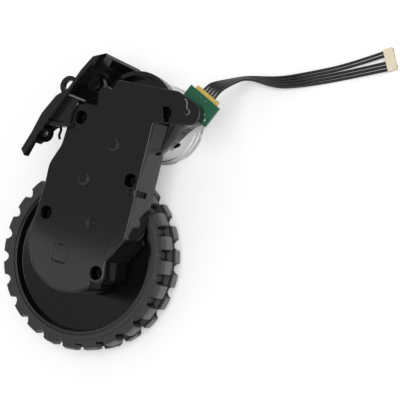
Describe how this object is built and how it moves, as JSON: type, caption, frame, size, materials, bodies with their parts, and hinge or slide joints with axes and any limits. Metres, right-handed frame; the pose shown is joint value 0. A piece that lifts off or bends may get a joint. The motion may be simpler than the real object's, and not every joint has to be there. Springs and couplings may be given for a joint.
{
  "type": "driven_wheel_module",
  "caption": "Driven wheel module of a floor cleaning robot: treaded wheel, gear case, motor, encoder board with cable, sprung mounting bracket.",
  "frame": {"origin": "On the wheel's axis, in the plane of the wheel's outboard face, which is the table that the module lies on.", "axes": "+X: from the wheel's axis to the straight side of the gear case. +Y: along the gear case, from the wheel to the motor. +Z: along the wheel's axis, from its outboard face to the cover of the gear case."},
  "size_m": [0.1287, 0.1292, 0.033],
  "materials": {
    "case_black": "fine moulded grain, satin",
    "bracket_black": "satin",
    "wheel_black": "glossy",
    "tyre_rubber": "matt rubber",
    "can_steel": "bright plated steel",
    "pin_steel": "ground steel",
    "screw_steel": "zinc plated",
    "spring_steel": "drawn spring wire",
    "bush_bronze": "sintered bronze",
    "gear_white": "moulded acetal",
    "board_green": "lacquered circuit board",
    "connector_yellow": "moulded nylon",
    "plug_ivory": "moulded nylon",
    "solder": "bright tin",
    "wire_black": "soft insulation"
  },
  "bodies": {
    "gear_case": {"gear_case_cover": "case_black", "gear_case_housing": "case_black", "housing_screws": "screw_steel", "gear_pins": "pin_steel", "rear_bush": "bush_bronze", "front_bush": "bush_bronze", "motor_can": "can_steel", "motor_end_bell": "can_steel", "motor_screws": "screw_steel", "circuit_board": "board_green", "board_connector": "connector_yellow", "solder_joints": "solder", "cable_plug": "plug_ivory", "plug_terminals": "solder", "wire_1": "wire_black", "wire_2": "wire_black", "wire_3": "wire_black", "wire_4": "wire_black", "wire_5": "wire_black"},
    "drive_wheel": {"tyre": "tyre_rubber", "wheel": "wheel_black", "hub_cap": "wheel_black", "output_shaft": "pin_steel", "output_gear": "gear_white", "wheel_screw": "screw_steel"},
    "third_gear_body": {"third_gear": "gear_white"},
    "second_gear_body": {"second_gear": "gear_white"},
    "first_gear_body": {"first_gear": "gear_white"},
    "motor_rotor": {"motor_pinion": "bush_bronze", "motor_shaft": "pin_steel"},
    "suspension": {"suspension_bracket": "bracket_black", "pivot_pin": "pin_steel", "pin_clip": "screw_steel", "suspension_spring": "spring_steel"}
  },
  "joints": [
    {"name": "wheel_spin", "type": "hinge", "parent": "gear_case", "child": "drive_wheel", "pos_m": [0, 0, 0.01], "axis": [0, 0, 1], "continuous": true},
    {"name": "third_gear_spin", "type": "hinge", "parent": "gear_case", "child": "third_gear_body", "pos_m": [0.00938, 0.01296, 0.02], "axis": [0, 0, 1], "continuous": true},
    {"name": "second_gear_spin", "type": "hinge", "parent": "gear_case", "child": "second_gear_body", "pos_m": [0.00202, 0.02717, 0.023], "axis": [0, 0, 1], "continuous": true},
    {"name": "first_gear_spin", "type": "hinge", "parent": "gear_case", "child": "first_gear_body", "pos_m": [0.01019, 0.04092, 0.025], "axis": [0, 0, 1], "continuous": true},
    {"name": "motor_spin", "type": "hinge", "parent": "gear_case", "child": "motor_rotor", "pos_m": [0.01477, 0.0533, 0.02], "axis": [0, 0, 1], "continuous": true},
    {"name": "suspension", "type": "hinge", "parent": "gear_case", "child": "suspension", "pos_m": [-0.0036, 0.0594, 0.02], "axis": [0, 0, 1], "range_deg": [-22, 0], "stiffness_Nm_per_rad": 0.08, "springref_deg": 20.05}
  ],
  "couplings": [
    {"joint": "third_gear_spin", "follows": "wheel_spin", "ratio": -1.2222},
    {"joint": "second_gear_spin", "follows": "wheel_spin", "ratio": 2.8519},
    {"joint": "first_gear_spin", "follows": "wheel_spin", "ratio": -6.6543},
    {"joint": "motor_spin", "follows": "wheel_spin", "ratio": 22.625}
  ]
}
